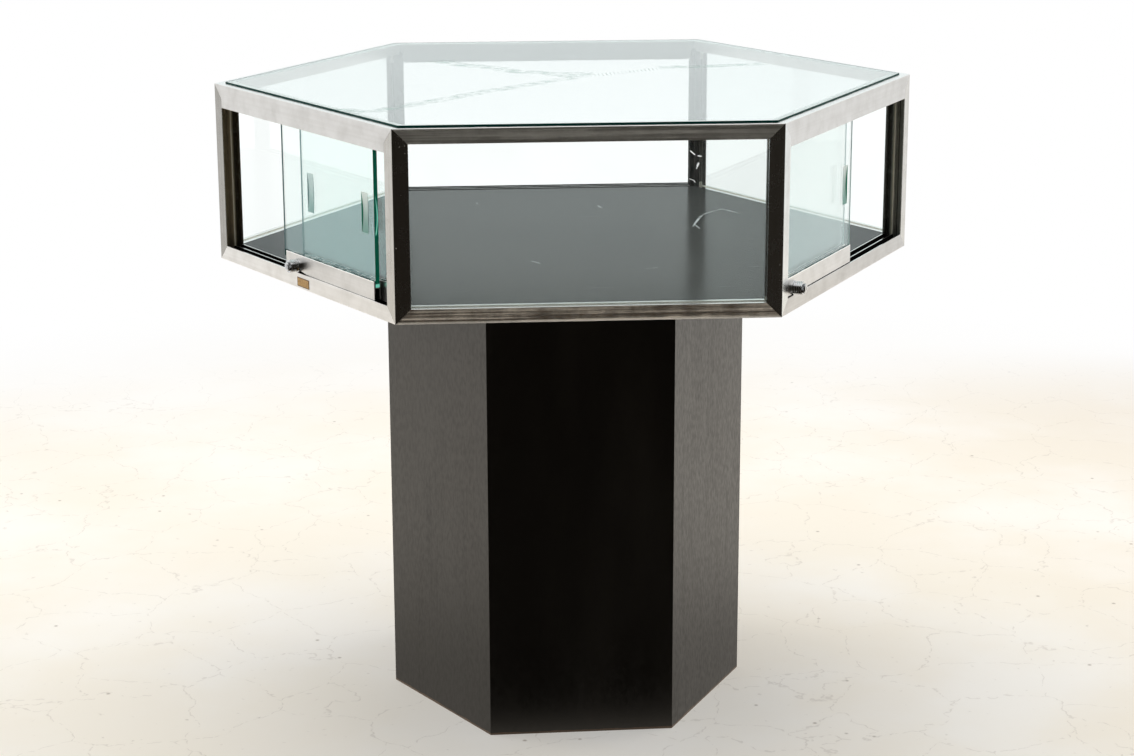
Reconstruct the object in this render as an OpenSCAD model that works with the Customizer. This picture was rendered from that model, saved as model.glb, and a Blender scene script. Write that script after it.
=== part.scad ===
// Pedestal display case: a hexagonal glass case in a metal frame, on a hexagonal pedestal.
// The origin is on the floor, under the middle of the case. +Z is up and -Y is the front.
// Faces are counted from the front, anticlockwise as seen from above. In a face's own frame
// x runs to the right as seen from outside, y runs inward from the outer plane, and z is up.

/* [Case] */
// Distance from the middle of the case to each corner
case_r = 500; // [460:5:540]
// Height of the case frame
case_h = 253.5; // [230:0.5:280]
// Height of the frame's underside above the floor
case_z = 658; // [600:1:760]
// How far the top glass lies in from the outer faces
top_inset = 13.5; // [12.5:0.5:15]
// How far the top glass stands above the frame
top_proud = 2; // [1:0.5:2.5]

/* [Frame] */
// Visible width of the posts and of the plain rails
frame_w = 20; // [19:0.5:20]
// Depth of every frame member
frame_d = 26; // [26:0.25:26.5]
// Thickness of the lips beside the sliding doors
lip_t = 1.6; // [1.4:0.1:1.8]
// Visible height of the deeper rails over the sliding doors
header_h = 33; // [31:0.5:36]
// Visible height of the track rails under the sliding doors
track_h = 21; // [20.5:0.5:22]
// Height of the track floors above the frame's underside
track_floor = 11; // [10.5:0.25:11.5]
// Radius of the frame's outer edges
edge_r = 1; // [0.6:0.1:1.2]
// Width of the hairline joint between two frame members
joint_gap = 0.2; // [0.1:0.05:0.3]

/* [Glass] */
// Thickness of every sheet of glass
glass_t = 6; // [5:0.5:6]
// Thickness of the seal on each side of a fixed pane
seal_t = 1.5; // [1.3:0.1:1.6]
// Depth of the grooves that hold the fixed panes in the rails
pane_groove = 10; // [9:0.5:10]
// Thickness of the tape under the top glass
tape_t = 1; // [0.5:0.25:1.5]

/* [Doors] */
// Length of a door shoe
shoe_len = 243.5; // [235:0.5:244]
// Height of a door shoe
shoe_h = 32.5; // [31:0.5:33]
// Width of a door shoe
shoe_w = 9.4; // [9:0.1:9.6]
// Thickness of a door shoe's walls
shoe_wall = 1.4; // [1.2:0.1:1.5]
// How far the door glass stands out past the left end of its shoe
glass_over_left = 7.5; // [1:0.5:7.5]
// How far the door glass stands out past the right end of its shoe
glass_over_right = 1; // [0.5:0.5:3]
// Left end of the left-front outer door's shoe
left_outer_at = -50.5; // [-230:0.5:-6]
// Left end of the left-front inner door's shoe
left_inner_at = -12.5; // [-229:0.5:-8]
// Left end of the right-front outer door's shoe
right_outer_at = -227.5; // [-230:0.5:-6]
// Left end of the right-front inner door's shoe
right_inner_at = -229; // [-229:0.5:-8]
// Radius of the rollers
roller_r = 7; // [6.5:0.1:7]
// Height of a finger pull
pull_h = 54; // [40:1:70]
// Width of a finger pull
pull_w = 17; // [10:1:18]
// Depth of a finger pull
pull_depth = 2.4; // [1:0.2:2.6]

/* [Lock] */
// Radius of the plunger's knurled nose
nose_r = 6.2; // [5.8:0.1:6.6]
// Radius of the plunger's barrel, inside the sleeve
barrel_r = 7.8; // [7.5:0.05:8]
// Radius of the plunger's bolt
bolt_r = 3; // [2.5:0.25:3.2]
// How far the plunger pushes in
lock_travel = 4.5; // [4:0.25:4.5]
// Distance from the left-front shoe's left end to its lock
lock_inset_left = 34.5; // [20:0.5:60]
// Distance from the right-front shoe's left end to its lock
lock_inset_right = 21.5; // [20:0.5:60]

/* [Pedestal] */
// Distance from the middle of the pedestal to each corner
pedestal_r = 262; // [220:1:300]
// How far the pedestal stands turned under the case, in degrees
pedestal_turn = 1.1; // [-3:0.1:3]
// Thickness of the boards
board_t = 18; // [15:0.5:19]
// Height of the bottom board above the floor
kick_h = 10; // [5:1:40]

/* [Hidden] */
$fn = 64;

// Faces and posts are numbered from the front
FRONT = 0;
RIGHT = 1;
BACK_RIGHT = 2;
BACK = 3;
BACK_LEFT = 4;
LEFT = 5;
// Door planes
OUTER = 0;
INNER = 1;

apothem = case_r * cos(30);
half = case_r / 2;
frame_top = case_z + case_h;
rail_top = case_z + frame_w;
// Walls of the hollow members
wall = 1.8;
// Clearances: between parts that never move, and between parts that do
clear = 0.1;
gap = 0.3;
// Overlap for joining solids, and a length past everything at a corner
eps = 0.01;
far = 60;

// Top glass, its rebate and its tape
rebate_y = top_inset - gap;
rebate_h = glass_t - top_proud + tape_t;
tape_margin = 1.5;
tape_w = frame_d - rebate_y - 2 * tape_margin;

// Two channels for the sliding doors, measured inward from the outer plane
channel_w = (frame_d - 3 * lip_t) / 2;
channel_y = [lip_t, 2 * lip_t + channel_w];
door_y = [for (y = channel_y) y + channel_w / 2];
header_ceiling = 12;
post_channel_depth = [12, 7.5];

// Groove of the fixed panes
pane_groove_w = glass_t + 2 * seal_t;
pane_groove_y = frame_d / 2 - pane_groove_w / 2 - 0.5;
post_groove = 8;
pane_bite = 7;
post_bite = 6;
seal_proud = 0.5;

// Hollow in the rails that takes the corner keys
key_y = 2;
key_w = 8;
key_t = 5.4;
key_mid = key_y + key_w / 2;
key_leg = 30;
peg_r = 2.2;
peg_len = 24;

// Ledge that carries the deck
ledge_w = 8;
ledge_t = 1.5;
deck_z = case_z + ledge_t;

// Doors: each one's shoe, glass and rollers
track_z = case_z + track_floor;
shoe_z = track_z + 2.5;
web_t = 1.6;
shoe_bite = 8;
header_bite = 10;
glass_z = shoe_z + shoe_h - shoe_bite;
glass_top = frame_top - header_h + header_bite;
roller_z = track_z + gap + roller_r;
roller_inset = 45;
roller_w = 5.4;
axle_r = 2;
run = 0.05;
pull_z = case_z + 133.5;
outer_pull_inset = 23;
inner_pull_inset = 19;

// Locks
lock_z = case_z + 31;
lock_out = 18.5;
nose_len = 3.5;
nose_bevel = 1;
sleeve_wall = 1;
sleeve_floor = 1;
flange_r = 9.5;
flange_t = 2.6;
rib_pitch = 2.2;
rib_h = 0.3;
tail_r = 5;
plug_r = 4;
plug_len = 9;
teeth = 28;
tooth_h = 0.5;
key_slot = [1.4, 5.2, 5];

// Screws that hold the deck down
screw_r = 2;
screw_head_r = 4;
screw_head_h = 2.4;
screw_len = board_t + 13;
screw_ring = 150;

// Battens behind the pedestal's mitres
batten_leg = 30;
batten_t = 22;

// Small plate on the left track rail
plate_x = -15.5;
plate_z = case_z + 2.8;
plate_size = [33, 0.4, 12.5];

// Colours
ALUMINIUM = "lightgray";
GLASS = [0.75, 0.9, 0.87, 0.45];
LAMINATE = [0.08, 0.08, 0.08];
BOARD = "burlywood";
CHROME = "silver";
NYLON = "whitesmoke";
VINYL = "ivory";

// Children drawn in the frame of one face of the case
module on_face(k) rotate(60 * k) translate([0, -apothem, 0]) children();

// A section drawn as (depth, height), run along a face from x0 to x1
module along(x0, x1) translate([x0, 0, 0]) rotate([90, 0, 90]) linear_extrude(x1 - x0) children();

// What rounding takes off a square corner at the origin
module corner_off(r) difference() {
    translate([-eps, -eps]) square(r + eps);
    translate([r, r]) circle(r);
}

// A hexagonal prism with flat sides towards the faces
module hexagon(flat_to_middle, h) linear_extrude(h) circle(flat_to_middle / cos(30), $fn = 6);

// ---------- Frame sections ----------
// In a section, x is the depth and y is the distance from the rail's outer edge.

module rail_outline(h) difference() {
    square([frame_d, h]);
    corner_off(edge_r);
    translate([0, h]) mirror([0, 1]) corner_off(edge_r / 2);
    translate([key_y, wall]) square([key_w, key_t]);
}

// A plain rail: a groove for a fixed pane with a hollow on each side of it.
// The inner hollow starts at inner_y.
module plain_section(inner_y) difference() {
    outer_y = 2 * wall + key_t;
    inner_x = pane_groove_y + pane_groove_w + wall;
    rail_outline(frame_w);
    translate([pane_groove_y, frame_w - pane_groove]) square([pane_groove_w, pane_groove + 1]);
    translate([wall, outer_y]) square([pane_groove_y - 2 * wall, frame_w - wall - outer_y]);
    translate([inner_x, inner_y]) square([frame_d - wall - inner_x, frame_w - wall - inner_y]);
}

// A rail with the two door channels, which start at floor_y, and a hollow behind them from hollow_y
module channel_section(h, floor_y, hollow_y) difference() {
    hollow_x = key_y + key_w + wall;
    rail_outline(h);
    for (y = channel_y) translate([y, floor_y]) square([channel_w, h - floor_y + 1]);
    translate([hollow_x, hollow_y]) square([frame_d - wall - hollow_x, floor_y - wall - hollow_y]);
}

module bottom_ledge() translate([frame_d - 0.5, 0]) square([ledge_w + 0.5, ledge_t]);

module top_rebate() translate([rebate_y, -1]) square([frame_d, rebate_h + 1]);

// ---------- Rails ----------

// What the mitres take off the right end of a rail: all past the corner's middle plane, and all on
// the post's side of the slanted joint. dir is 1 for a bottom rail and -1 for a top rail.
module rail_end_off(z0, dir) translate([half, 0, z0]) {
    rotate(30) translate([-joint_gap / 2, -far, -far]) cube([far, 3 * far, 2 * far]);
    translate([0, 2 * far, 0]) rotate([90, 0, 0]) linear_extrude(3 * far)
        polygon([
            [0, dir * -joint_gap], [-frame_w - joint_gap, dir * frame_w],
            [-frame_w - joint_gap, dir * far], [far, dir * far], [far, dir * -joint_gap]
        ]);
}

module rail(k, z0, dir) on_face(k) difference() {
    translate([0, 0, z0]) along(-half, half) scale([1, dir]) children();
    rail_end_off(z0, dir);
    mirror([1, 0, 0]) rail_end_off(z0, dir);
}

module bottom_rail(k) color(ALUMINIUM) rail(k, case_z, 1) union() {
    plain_section(wall);
    bottom_ledge();
}

module bottom_track(k) color(ALUMINIUM) rail(k, case_z, 1) union() {
    channel_section(track_h, track_floor, wall);
    bottom_ledge();
}

module top_rail(k) color(ALUMINIUM) rail(k, frame_top, -1) difference() {
    plain_section(rebate_h + wall);
    top_rebate();
}

module header(k) color(ALUMINIUM) rail(k, frame_top, -1) difference() {
    channel_section(header_h, header_ceiling, rebate_h + wall);
    top_rebate();
}

// ---------- Posts: each in its own frame, with x outward through the corner ----------

// The point s along a face from the corner and d inward from it.
// side is -1 on the face before the corner and 1 on the face after it.
function at_post(s, d, side) =
    [-s * cos(60) - d * cos(30), side * (s * sin(60) - d * sin(30))];

// What a groove takes out of the post's side, from depth d to d + w
module post_groove_off(depth, d, w, side) {
    floor_s = frame_w - depth;
    polygon([
        at_post(floor_s, d, side), at_post(frame_w + 1, d, side),
        at_post(frame_w + 1, d + w, side), at_post(floor_s, d + w, side)
    ]);
}

// A face of the case has a fixed pane, or sliding doors. The back is open, and its posts are plain.
module post_side_off(side, k) {
    if (k % 6 == RIGHT || k % 6 == LEFT)
        for (p = [OUTER, INNER])
            post_groove_off(post_channel_depth[p], channel_y[p], channel_w, side);
    else if (k != BACK)
        post_groove_off(post_groove, pane_groove_y, pane_groove_w, side);
}

// What rounding takes off the post's outer corner, which is 120 degrees wide
module post_corner_off() difference() {
    tangent = edge_r * tan(30);
    middle = -edge_r / cos(30);
    polygon([[eps, 0], at_post(tangent, 0, 1), [middle, 0], at_post(tangent, 0, -1)]);
    translate([middle, 0]) circle(edge_r);
}

module post_section(k) difference() {
    polygon([
        at_post(0, 0, 1), at_post(frame_w, 0, 1), at_post(frame_w, frame_d, 1),
        at_post(frame_d * tan(30), frame_d, 1),
        at_post(frame_w, frame_d, -1), at_post(frame_w, 0, -1)
    ]);
    post_side_off(-1, k);
    post_side_off(1, k + 1);
    post_corner_off();
    translate([-key_mid / cos(30), 0]) circle(peg_r + clear);
}

// What the slanted joint takes off the post's end, in the frame of the face before it
module post_end_off(z0, dir) translate([half, 2 * far, z0]) rotate([90, 0, 0])
    linear_extrude(3 * far)
        polygon([[far, dir * -far], [-2 * far, dir * -far], [-2 * far, dir * 2 * far]]);

// The post at the right end of face k
module post(k) color(ALUMINIUM) difference() {
    rotate(60 * k - 60) translate([case_r, 0, case_z]) linear_extrude(case_h) post_section(k);
    for (dir = [-1, 1]) {
        z0 = dir > 0 ? case_z : frame_top;
        on_face(k) post_end_off(z0, dir);
        on_face(k + 1) mirror([1, 0, 0]) post_end_off(z0, dir);
        at_key(k, z0, dir) key_legs(key_w, key_t);
    }
}

// ---------- Corner keys ----------

// A key joins two rails and a post: a leg in each rail's hollow and a peg in the post's bore
module at_key(k, z0, dir) rotate(60 * k - 60)
    translate([case_r - key_mid / cos(30), 0, z0 + dir * (wall + key_t / 2)]) children();

module key_legs(w, t) for (a = [-120, 120]) rotate(a)
    translate([0, -w / 2, -t / 2]) cube([key_leg, w, t]);

module corner_key(k, z0, dir) at_key(k, z0, dir) {
    key_legs(key_w - 2 * clear, key_t - 2 * clear);
    translate([0, 0, dir > 0 ? 0 : -peg_len]) cylinder(r = peg_r, h = peg_len);
}

module corner_keys(z0, dir) color("gray") for (k = [0:5]) corner_key(k, z0, dir);

// ---------- Panes, seals and top glass ----------

pane_x = half - frame_w + post_bite;
pane_y = pane_groove_y + seal_t;
pane_z = rail_top - pane_bite;

// A box centred on a face, from -x to x, and from height z to the same distance under the top
module pane_box(x, y, z, t) translate([-x, y, z]) cube([2 * x, t, case_z + frame_top - 2 * z]);

module pane(k) color(GLASS) on_face(k) pane_box(pane_x, pane_y, pane_z, glass_t);

// A vinyl channel that wraps the four edges of a fixed pane
module pane_seal(k) on_face(k) difference() {
    pane_box(half - frame_w + post_groove - clear, pane_groove_y + clear,
        rail_top - pane_groove + clear, pane_groove_w - 2 * clear);
    pane_box(half - frame_w - seal_proud, 0, rail_top + seal_proud, frame_d);
    pane_box(pane_x, pane_y, pane_z, glass_t);
}

module glass_tape() translate([0, 0, frame_top - rebate_h]) difference() {
    hexagon(apothem - rebate_y - tape_margin, tape_t);
    translate([0, 0, -1]) hexagon(apothem - rebate_y - tape_margin - tape_w, tape_t + 2);
}

module glazing_seals() color(VINYL) {
    for (k = [FRONT, BACK_RIGHT, BACK_LEFT]) pane_seal(k);
    glass_tape();
}

module top_glass() color(GLASS)
    translate([0, 0, frame_top + top_proud - glass_t]) hexagon(apothem - top_inset, glass_t);

// ---------- Sliding doors: at is the left end of a door's shoe ----------

// Children on an axis that runs straight in through a face, at height z
module bored_in(x, z) translate([x, 0, z]) rotate([-90, 0, 0]) children();

module shoe_section() difference() {
    slot = shoe_w - 2 * shoe_wall;
    translate([-shoe_w / 2, 0]) square([shoe_w, shoe_h]);
    translate([-slot / 2, shoe_h - shoe_bite]) square([slot, shoe_bite + 1]);
    translate([-slot / 2, -1]) square([slot, shoe_h - shoe_bite - web_t + 1]);
}

module door_shoe(k, plane, at) color(ALUMINIUM) on_face(k) difference() {
    translate([0, door_y[plane], shoe_z]) along(at, at + shoe_len) shoe_section();
    for (x = [at + roller_inset, at + shoe_len - roller_inset])
        bored_in(x, roller_z) cylinder(r = axle_r + run, h = 2 * frame_d);
    if (plane == OUTER) bored_in(at + lock_inset(k), lock_z) {
        cylinder(r = tail_r + clear, h = door_y[plane]);
        cylinder(r = bolt_r + gap, h = frame_d);
    }
}

// A roller is one turned piece with a stub axle on each side. nth is 0 at the left end of the shoe.
module roller(k, plane, at, nth) color(NYLON) on_face(k)
    translate([at + (nth == 0 ? roller_inset : shoe_len - roller_inset), door_y[plane], roller_z])
        rotate([90, 0, 0]) {
            cylinder(r = roller_r, h = roller_w, center = true);
            cylinder(r = axle_r, h = shoe_w - 2 * clear, center = true);
        }

// The finger pull is ground in with a wheel whose axle lies along the door
module door_glass(k, plane, at) color(GLASS) on_face(k) difference() {
    y0 = door_y[plane] - glass_t / 2;
    pull_x = at + (plane == OUTER ? shoe_len - outer_pull_inset : inner_pull_inset);
    wheel_r = (pow(pull_h / 2, 2) + pow(pull_depth, 2)) / (2 * pull_depth);
    translate([at - glass_over_left, y0, glass_z])
        cube([glass_over_left + shoe_len + glass_over_right, glass_t, glass_top - glass_z]);
    translate([pull_x - pull_w / 2, y0 + pull_depth - wheel_r, pull_z])
        rotate([0, 90, 0]) cylinder(r = wheel_r, h = pull_w, $fn = 180);
}

// ---------- Locks: along a lock's own axis, the distances are depths in from the face ----------

lock_face = door_y[OUTER] - shoe_w / 2;
lock_end = lock_face - lock_out;
barrel_end = lock_face - sleeve_floor - gap - lock_travel;
sleeve_end = lock_end + nose_len - gap;
tail_end = lock_face + shoe_w - shoe_wall - gap;
bolt_end = door_y[INNER] - shoe_w / 2 - 0.5 - lock_travel;

function lock_inset(k) = k == LEFT ? lock_inset_left : lock_inset_right;

module at_lock(k, at) on_face(k) bored_in(at + lock_inset(k), lock_z) children();

module rod(r, from, to) translate([0, 0, from]) cylinder(r = r, h = to - from);

// A rod with shallow ribs round it
module ribbed_rod(r, from, to) {
    halves = 2 * floor((to - from) / rib_pitch);
    rotate_extrude() polygon([
        [0, from],
        for (i = [0:halves]) [r - (i % 2 == 0 ? rib_h : 0), from + i * (to - from) / halves],
        [0, to]
    ]);
}

// The fixed sleeve stands on the shoe's front wall, and its tail goes through it
module lock_sleeve(k, at) color(CHROME) at_lock(k, at) difference() {
    union() {
        ribbed_rod(barrel_r + run + sleeve_wall, sleeve_end, lock_face - flange_t + eps);
        rod(flange_r, lock_face - flange_t, lock_face);
        rod(tail_r, lock_face - eps, tail_end);
    }
    rod(barrel_r + run, sleeve_end - 1, lock_face - sleeve_floor);
    rod(bolt_r + run, lock_face - 2 * sleeve_floor, tail_end + 1);
}

module knurled_circle() polygon([
    for (i = [0:2 * teeth - 1])
        let (r = nose_r - (i % 2) * tooth_h, a = i * 180 / teeth) [r * cos(a), r * sin(a)]
]);

module lock_plunger(k, at) color(CHROME) at_lock(k, at) difference() {
    root_r = nose_r - tooth_h;
    union() {
        translate([0, 0, lock_end + nose_bevel])
            linear_extrude(nose_len - nose_bevel) knurled_circle();
        translate([0, 0, lock_end])
            cylinder(r1 = root_r - nose_bevel, r2 = root_r, h = nose_bevel + eps);
        rod(barrel_r, lock_end + nose_len - eps, barrel_end);
        rod(bolt_r, barrel_end - eps, bolt_end);
    }
    rod(plug_r + run, lock_end - 1, lock_end + plug_len + gap);
}

module lock_plug(k, at) color(CHROME) at_lock(k, at) difference() {
    rod(plug_r, lock_end - gap, lock_end + plug_len);
    translate([-key_slot[0] / 2, -key_slot[1] / 2, lock_end - 1]) cube(key_slot);
}

// ---------- Deck and pedestal ----------

pedestal_flat = pedestal_r * cos(30);

module screw_places() for (k = [0:5])
    rotate(60 * k + pedestal_turn) translate([0, screw_ring, 0]) children();

module deck_board() color(LAMINATE) difference() {
    translate([0, 0, deck_z]) hexagon(apothem - frame_d - gap, rail_top - deck_z);
    screw_places() translate([0, 0, deck_z - 1]) cylinder(r = screw_r + run, h = screw_len - board_t + 2);
}

module deck_screws() color("dimgray") screw_places() translate([0, 0, deck_z - board_t]) {
    cylinder(r = screw_head_r, h = screw_head_h);
    cylinder(r = screw_r, h = screw_len);
}

module pedestal_panel(k) color(LAMINATE) rotate(60 * k + pedestal_turn) translate([0, -pedestal_flat, 0])
    linear_extrude(deck_z) polygon([
        [-pedestal_r / 2, 0], [pedestal_r / 2, 0],
        [pedestal_r / 2 - board_t * tan(30), board_t], [-pedestal_r / 2 + board_t * tan(30), board_t]
    ]);

module pedestal_top_board() color(BOARD) difference() {
    rotate(pedestal_turn)
        translate([0, 0, deck_z - board_t]) hexagon(pedestal_flat - board_t - clear, board_t - clear);
    screw_places() translate([0, 0, deck_z - board_t - 1]) {
        cylinder(r = screw_r + gap, h = board_t + 2);
        cylinder(r = screw_head_r + gap, h = screw_head_h + 1);
    }
}

module pedestal_bottom_board() color(BOARD)
    rotate(pedestal_turn) translate([0, 0, kick_h]) hexagon(pedestal_flat - board_t - clear, board_t);

// An upright batten behind each mitre of the pedestal
module pedestal_battens() color(BOARD) for (k = [0:5]) rotate(60 * k + pedestal_turn)
    translate([(pedestal_flat - board_t - clear) / cos(30), 0, kick_h + board_t + clear])
        linear_extrude(deck_z - kick_h - 2 * (board_t + clear)) polygon([
            [0, 0], [-batten_leg * cos(60), batten_leg * sin(60)], [-batten_t, batten_leg * sin(60)],
            [-batten_t, -batten_leg * sin(60)], [-batten_leg * cos(60), -batten_leg * sin(60)]
        ]);

module label_plate() color("peru") on_face(LEFT)
    translate([plate_x, -plate_size[1], plate_z]) cube(plate_size);

// ---------- Nodes ----------

pedestal_panel(FRONT);  // pedestal_panel_front
pedestal_panel(RIGHT);  // pedestal_panel_front_right
pedestal_panel(BACK_RIGHT);  // pedestal_panel_back_right
pedestal_panel(BACK);  // pedestal_panel_back
pedestal_panel(BACK_LEFT);  // pedestal_panel_back_left
pedestal_panel(LEFT);  // pedestal_panel_front_left
pedestal_top_board();
pedestal_bottom_board();
pedestal_battens();
deck_screws();
deck_board();
bottom_rail(FRONT);  // bottom_rail_front
bottom_track(RIGHT);  // bottom_track_right
bottom_rail(BACK_RIGHT);  // bottom_rail_back_right
bottom_track(BACK);  // bottom_track_back
bottom_rail(BACK_LEFT);  // bottom_rail_back_left
bottom_track(LEFT);  // bottom_track_left
top_rail(FRONT);  // top_rail_front
header(RIGHT);  // header_right
top_rail(BACK_RIGHT);  // top_rail_back_right
header(BACK);  // header_back
top_rail(BACK_LEFT);  // top_rail_back_left
header(LEFT);  // header_left
post(FRONT);  // post_front_right
post(RIGHT);  // post_right
post(BACK_RIGHT);  // post_back_right
post(BACK);  // post_back_left
post(BACK_LEFT);  // post_left
post(LEFT);  // post_front_left
corner_keys(case_z, 1);  // corner_keys_bottom
corner_keys(frame_top, -1);  // corner_keys_top
pane(FRONT);  // pane_front
pane(BACK_RIGHT);  // pane_back_right
pane(BACK_LEFT);  // pane_back_left
glazing_seals();
top_glass();
door_glass(LEFT, OUTER, left_outer_at);  // door_glass_left_outer
door_glass(LEFT, INNER, left_inner_at);  // door_glass_left_inner
door_glass(RIGHT, OUTER, right_outer_at);  // door_glass_right_outer
door_glass(RIGHT, INNER, right_inner_at);  // door_glass_right_inner
door_shoe(LEFT, OUTER, left_outer_at);  // door_shoe_left_outer
door_shoe(LEFT, INNER, left_inner_at);  // door_shoe_left_inner
door_shoe(RIGHT, OUTER, right_outer_at);  // door_shoe_right_outer
door_shoe(RIGHT, INNER, right_inner_at);  // door_shoe_right_inner
roller(LEFT, OUTER, left_outer_at, 0);  // roller_left_outer_a
roller(LEFT, OUTER, left_outer_at, 1);  // roller_left_outer_b
roller(LEFT, INNER, left_inner_at, 0);  // roller_left_inner_a
roller(LEFT, INNER, left_inner_at, 1);  // roller_left_inner_b
roller(RIGHT, OUTER, right_outer_at, 0);  // roller_right_outer_a
roller(RIGHT, OUTER, right_outer_at, 1);  // roller_right_outer_b
roller(RIGHT, INNER, right_inner_at, 0);  // roller_right_inner_a
roller(RIGHT, INNER, right_inner_at, 1);  // roller_right_inner_b
lock_sleeve(LEFT, left_outer_at);  // lock_sleeve_left
lock_sleeve(RIGHT, right_outer_at);  // lock_sleeve_right
lock_plunger(LEFT, left_outer_at);  // lock_plunger_left
lock_plunger(RIGHT, right_outer_at);  // lock_plunger_right
lock_plug(LEFT, left_outer_at);  // lock_plug_left
lock_plug(RIGHT, right_outer_at);  // lock_plug_right
label_plate();
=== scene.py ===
from math import cos, radians, sin, tau

import bmesh
import bpy
from mathutils import Matrix, Vector


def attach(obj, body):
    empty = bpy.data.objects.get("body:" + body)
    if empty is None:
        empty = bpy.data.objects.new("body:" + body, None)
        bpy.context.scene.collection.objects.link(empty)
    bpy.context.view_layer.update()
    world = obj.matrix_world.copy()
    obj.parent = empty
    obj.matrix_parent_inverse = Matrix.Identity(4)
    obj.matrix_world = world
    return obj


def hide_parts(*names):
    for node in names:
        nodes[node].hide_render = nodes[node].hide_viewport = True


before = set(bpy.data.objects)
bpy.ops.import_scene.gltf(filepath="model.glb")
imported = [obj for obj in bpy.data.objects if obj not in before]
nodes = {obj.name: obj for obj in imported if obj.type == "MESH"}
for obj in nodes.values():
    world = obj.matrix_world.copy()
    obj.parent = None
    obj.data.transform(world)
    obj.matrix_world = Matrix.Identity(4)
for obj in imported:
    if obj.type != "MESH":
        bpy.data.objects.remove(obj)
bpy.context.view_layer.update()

# ---------- Camera ----------
# The photograph was taken from a little left of the middle, 15 degrees above level, with a long
# lens. The place and the turn were solved from the corners of the case and of the pedestal.

view_from = Vector((-0.244, -3.4901, 1.3996))
view_ahead = Vector((0.0676023, 0.9639074, -0.257512))
view_right = Vector((0.9974868, -0.0707849, -0.0030978))
view_lens = 77.62
sensor_w = 36.0
nearest_seen = 0.05

camera_data = bpy.data.cameras.new("camera")
camera_data.lens = view_lens
camera_data.sensor_width = sensor_w
camera_data.clip_start = nearest_seen
camera = bpy.data.objects.new("camera", camera_data)
bpy.context.scene.collection.objects.link(camera)
back = -view_ahead.normalized()
right = (view_right - back * view_right.dot(back)).normalized()
camera.matrix_world = Matrix.Translation(view_from) @ Matrix(
    (right, back.cross(right), back)
).transposed().to_4x4()
bpy.context.scene.camera = camera
bpy.context.scene.view_settings.view_transform = "Standard"

# ---------- Room ----------
# A white studio: a pale painted floor with faint cracks, which runs into a white background, a
# broad soft lamp overhead and one at each side, and a dark end of the room in front of the case,
# which the front of the metal and laminate mirrors.

white = (1.0, 1.0, 1.0, 1.0)
front_dark = (0.018, 0.0145, 0.011, 1.0)
room_light = (0.94, 0.97, 1.0, 1.0)
back_wall = (0.87, 0.93, 0.935, 1.0)
floor_paint = (0.96, 0.88, 0.74, 1.0)
floor_worn = (1.0, 0.95, 0.86, 1.0)
floor_dirt = (0.33, 0.26, 0.2, 1.0)
floor_glow = (1.0, 0.965, 0.9, 1.0)
floor_glow_right = (0.86, 0.79, 0.7, 1.0)
floor_reflection_glow = (1.0, 0.945, 0.86, 1.0)
floor_r = 3.2
floor_steps = 96
# How far the floor's cracks wander from straight lines
crack_wander = 0.09
# Strength of the room's own light, and of the white that shows through the glass
room_strength = 0.62
white_through_glass = 1.17
# Ray depths are whole numbers, and this tells none from one or more
half_bounce = 0.5


def put(tree, kind, inputs=None, **settings):
    """Adds a node, makes its settings, and gives each input a value or a link."""
    made = tree.nodes.new(kind)
    for key, value in settings.items():
        setattr(made, key, value)
    for key, value in (inputs or {}).items():
        if isinstance(value, bpy.types.NodeSocket):
            tree.links.new(value, made.inputs[key])
        else:
            made.inputs[key].default_value = value
    return made


def maths(tree, operation, *values):
    return put(tree, "ShaderNodeMath", dict(enumerate(values)), operation=operation).outputs[0]


def step(tree, value, low, high, start=0.0, end=1.0):
    """A soft step from start to end as value goes from low to high."""
    made = put(tree, "ShaderNodeMapRange", {"Value": value, "From Min": low, "From Max": high,
                                            "To Min": start, "To Max": end},
               interpolation_type="SMOOTHSTEP")
    return made.outputs["Result"]


def blended(tree, share, first, second):
    """Two colours mixed by share."""
    made = put(tree, "ShaderNodeMix", {"Factor": share}, data_type="RGBA", blend_type="MIX")
    for socket, colour in ((made.inputs[6], first), (made.inputs[7], second)):
        if isinstance(colour, bpy.types.NodeSocket):
            tree.links.new(colour, socket)
        else:
            socket.default_value = colour
    return made.outputs[2]


def mixed(tree, share, first, second):
    """Two shaders mixed by share."""
    return put(tree, "ShaderNodeMixShader", {0: share, 1: first, 2: second}).outputs[0]


def matt(tree, colour):
    return put(tree, "ShaderNodeBsdfDiffuse", {"Color": colour}).outputs[0]


def parts_of(tree, vector):
    return put(tree, "ShaderNodeSeparateXYZ", {0: vector}).outputs


def noise(tree, point, scale, detail=2.0, roughness=0.5):
    return put(tree, "ShaderNodeTexNoise", {"Vector": point, "Scale": scale, "Detail": detail,
                                            "Roughness": roughness}).outputs[0]


def dots(tree, point, scale, above, near, far, share, channel=0):
    """Scattered dots of the given share, full to near and gone at far from their middles, in the
    few cells whose random number is above a limit."""
    cells = put(tree, "ShaderNodeTexVoronoi", {"Vector": point, "Scale": scale}).outputs
    number = put(tree, "ShaderNodeSeparateColor", {0: cells["Color"]}).outputs[channel]
    return maths(tree, "MULTIPLY", maths(tree, "GREATER_THAN", number, above),
                 step(tree, cells["Distance"], near, far, share, 0.0))


def new_material(name):
    made = bpy.data.materials.new(name)
    made.use_nodes = True
    made.node_tree.nodes.clear()
    return made, made.node_tree


def show(tree, shader):
    put(tree, "ShaderNodeOutputMaterial", {"Surface": shader})


def object_point(tree):
    return put(tree, "ShaderNodeTexCoord").outputs["Object"]


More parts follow.
